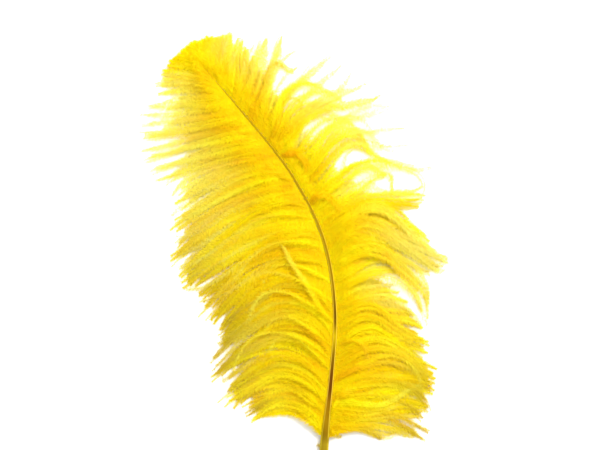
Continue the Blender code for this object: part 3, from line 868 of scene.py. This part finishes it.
def quill(material):
    """The shaft's skin: a tube with a groove along its top, closed at both ends."""
    along = np.concatenate([BUTT_RINGS, np.linspace(STRAIGHT_FROM, SHAFT_LENGTH, QUILL_RINGS)])
    line, width, across = centre_at(along), width_at(along), across_at(along)
    up = np.cross(across, heading_at(along))
    angle = math.pi / 2 + 2 * math.pi * np.arange(QUILL_SIDES) / QUILL_SIDES
    off_top = np.abs((angle - math.pi / 2 + math.pi) % (2 * math.pi) - math.pi)
    groove = GROOVE_DEPTH * smooth(*GROOVE, along)[:, None] * np.exp(-((off_top / GROOVE_SPREAD) ** 2))
    x = np.cos(angle)[None] * width[:, None] / 2
    z = (np.sin(angle)[None] / 2 - groove) * width[:, None]
    points = line[:, None] + across[:, None] * x[..., None] + up[:, None] * z[..., None]
    index = np.arange(len(along) * QUILL_SIDES).reshape(len(along), QUILL_SIDES)
    triangles = [tube_faces(index)]
    for ring, end in ((index[0][::-1], index.size), (index[-1], index.size + 1)):
        triangles.append(np.stack([ring, np.roll(ring, -1), np.full(QUILL_SIDES, end)], -1))
    points = np.concatenate([points.reshape(-1, 3), line[[0, -1]]])
    u = np.concatenate([np.repeat(along / SHAFT_LENGTH, QUILL_SIDES), [0, 1]])
    v = np.concatenate([np.tile(np.arange(QUILL_SIDES) / QUILL_SIDES, len(along)), [0.5, 0.5]])
    from_top = np.concatenate([np.tile(off_top / math.pi, len(along)), [0.5, 0.5]])
    spread = {"along": u, "from_top": from_top}
    return mesh_piece("quill", points, np.concatenate(triangles), np.stack([u, v], 1), spread, material)


# -------- materials


class Looks:
    """A new material's nodes."""

    def __init__(self, name):
        self.material = bpy.data.materials.new(name)
        self.material.use_nodes = True
        self.tree = self.material.node_tree
        self.tree.nodes.clear()

    def add(self, kind, inputs, **settings):
        """A node, with a number, a colour or another node's output in each input that is given."""
        node = self.tree.nodes.new(f"ShaderNode{kind}")
        for key, value in settings.items():
            setattr(node, key, value)
        for key, value in inputs.items():
            if isinstance(value, bpy.types.NodeSocket):
                self.tree.links.new(value, node.inputs[key])
            elif isinstance(value, tuple):
                node.inputs[key].default_value = (*value, 1)
            else:
                node.inputs[key].default_value = value
        return node

    def attribute(self, name):
        return self.add("Attribute", {}, attribute_name=name).outputs["Fac"]

    def place(self):
        return self.add("TexCoord", {}).outputs["Object"]

    def noise(self, place, scale, detail):
        return self.add("TexNoise", {"Vector": place, "Scale": scale, "Detail": detail}).outputs["Fac"]

    def ranged(self, value, low, high, to_low, to_high):
        """A value mapped smoothly from one range to another."""
        ends = {"From Min": low, "From Max": high, "To Min": to_low, "To Max": to_high}
        node = self.add("MapRange", {"Value": value, **ends}, interpolation_type="SMOOTHSTEP")
        return node.outputs["Result"]

    def plus(self, first, second):
        return self.add("Math", {0: first, 1: second}).outputs[0]

    def blend(self, factor, first, second):
        return self.add("Mix", {0: factor, 6: first, 7: second}, data_type="RGBA").outputs[2]

    def ramp(self, factor, stops):
        """Colours by a factor, from the first stop at 0 to the last one at 1."""
        node = self.add("ValToRGB", {0: factor})
        elements = node.color_ramp.elements
        elements[0].color, elements[1].color = (*stops[0][1], 1), (*stops[-1][1], 1)
        for position, colour in stops[1:-1]:
            elements.new(position).color = (*colour, 1)
        return node.outputs["Color"]

    def surface(self, shader):
        self.add("OutputMaterial", {"Surface": shader.outputs[0]})
        return self.material


def barb_material():
    """Dye from orange to lemon by each barb's tone, soft patches and grain, paler at thin tips; painted
    light raises the tone, and painted shade darkens the barbules' edges and the barbs where the painted
    light is low.
    """
    looks = Looks("dyed_barbs")
    along, edge, pale = looks.attribute("along"), looks.attribute("edge"), looks.attribute("pale")
    place = looks.place()
    patches = looks.noise(place, PATCHES, 3)
    grain = looks.noise(place, GRAIN, 2)
    shade = looks.plus(looks.attribute("tone"), looks.ranged(along, 0, 0.9, -0.03, 0.13))
    # painted shade: darker towards the barbules' edges, for the shadowed valleys between the barbs
    shade = looks.plus(shade, looks.ranged(edge, 0, 1, 0.06, -0.14))
    shade = looks.plus(shade, looks.ranged(patches, 0.3, 0.7, -0.1, 0.1))
    shade = looks.plus(shade, looks.ranged(grain, 0.3, 0.7, -0.08, 0.08))
    outer = looks.ranged(along, 0.2, 0.9, 0, 1)
    paleness = looks.add("Math", {0: pale, 1: outer}, operation="MULTIPLY", use_clamp=True).outputs[0]
    dyed = looks.blend(paleness, looks.ramp(shade, DYE), LEMON)
    dyed = looks.blend(looks.ranged(pale, 0, -1, 0, 1), dyed, ORANGE)
    # painted shade: towards the shaded colour where the painted light falls below 1
    dyed = looks.blend(looks.ranged(looks.attribute("painted_light"), 1, 0.5, 0, 1), dyed, SHADED)
    finish = {"Roughness": 0.55, "Specular IOR Level": 0.08, "Sheen Weight": 0.12, "Sheen Tint": SHEEN}
    front = looks.add("BsdfPrincipled", {"Base Color": dyed, **finish})
    glow = looks.add("BsdfTranslucent", {"Color": dyed})
    return looks.surface(looks.add("MixShader", {0: 0.48, 1: front.outputs[0], 2: glow.outputs[0]}))


def quill_material():
    """A dark groove between golden shoulders, and a mottled bare end."""
    looks = Looks("quill_keratin")
    along = looks.attribute("along")
    grain = looks.noise(looks.place(), BARE_GRAIN, 5)
    beside = looks.ranged(looks.attribute("from_top"), 0.17, 0.27, 0, 1)
    striped = looks.blend(beside, looks.ramp(along, GROOVE_COLOURS), looks.ramp(along, SHOULDER_COLOURS))
    mottled = looks.blend(looks.ranged(grain, 0.52, 0.64, 0, 0.55), striped, SPECKS)
    colour = looks.blend(looks.ranged(along, 0.13, 0.1, 0, 1), striped, mottled)
    bump = looks.add("Bump", {"Strength": 0.25, "Distance": 0.0002, "Height": grain})
    inputs = {"Base Color": colour, "Normal": bump.outputs[0], "Roughness": 0.6, "Specular IOR Level": 0.04}
    return looks.surface(looks.add("BsdfPrincipled", inputs))


# -------- stage, lights and camera


def stage():
    """A pale table, a plain white sky and one soft lamp."""
    bpy.ops.mesh.primitive_plane_add(size=TABLE_SIZE)
    floor = bpy.context.object
    floor.name = "floor"
    looks = Looks("pale_floor")
    inputs = {"Base Color": TABLE, "Roughness": 0.9, "Specular IOR Level": 0.1}
    floor.data.materials.append(looks.surface(looks.add("BsdfPrincipled", inputs)))

    world = bpy.data.worlds.new("soft_sky")
    world.use_nodes = True
    world.node_tree.nodes["Background"].inputs["Color"].default_value = (1, 1, 1, 1)
    world.node_tree.nodes["Background"].inputs["Strength"].default_value = 1
    bpy.context.scene.world = world

    light = bpy.data.lights.new("key", "AREA")
    light.energy, light.size = LAMP_POWER, LAMP_SIZE
    lamp = bpy.data.objects.new("key", light)
    bpy.context.collection.objects.link(lamp)
    lamp.location = LAMP_PLACE
    lamp.rotation_euler = (-lamp.location).to_track_quat("-Z", "Y").to_euler()


def camera():
    """Straight above the plume."""
    data = bpy.data.cameras.new("camera")
    shot = bpy.data.objects.new("camera", data)
    bpy.context.collection.objects.link(shot)
    centre = laid_on_frame(np.array([VIEW_CENTRE_X, QUILL_BELOW_VIEW + VIEW_HEIGHT / 2, VIEW_LEVEL]))
    shot.location = (centre[0], centre[1], centre[2] + CAMERA_HEIGHT)
    data.sensor_width = SENSOR_WIDTH
    data.lens = SENSOR_WIDTH * CAMERA_HEIGHT / (VIEW_HEIGHT * ASPECT * MM)
    bpy.context.scene.camera = shot


# -------- the plume


def vane(side_name, side, under_flow, over_flow, over_barbs, placed, material):
    """The barbs of one side. Side is -1 for the left of the shaft and +1 for the right."""
    rng = np.random.default_rng(SEED + (side > 0))
    under = row_of_barbs(side, under_flow, UNDER_BARBS, UNDER, rng)
    over = row_of_barbs(side, over_flow, over_barbs, OVER, rng)
    over = joined([over] + [barbs for its_side, barbs in placed if its_side == side])
    for part, low, high in VANE_PARTS:
        lower = chosen(under, (under.share >= low) & (under.share < high))
        upper = chosen(over, (over.share >= low) & (over.share < high))
        piece = barb_piece(f"{side_name}_barbs_{part}", lower, upper, rng, material)
        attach(piece, "root")
        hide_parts(f"{side_name}_vane")


def main():
    bpy.context.scene.view_settings.view_transform = "Standard"
    stage()
    camera()
    material = barb_material()
    rng = np.random.default_rng(SEED)
    placed = [placed_lock(*lock, rng) for lock in LOCKS]
    vane("left", -1, LEFT_UNDER, LEFT_OVER, LEFT_OVER_BARBS, placed, material)
    vane("right", 1, RIGHT_UNDER, RIGHT_OVER, RIGHT_OVER_BARBS, placed, material)
    shaft = quill(quill_material())
    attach(shaft, "root")
    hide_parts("shaft")


main()
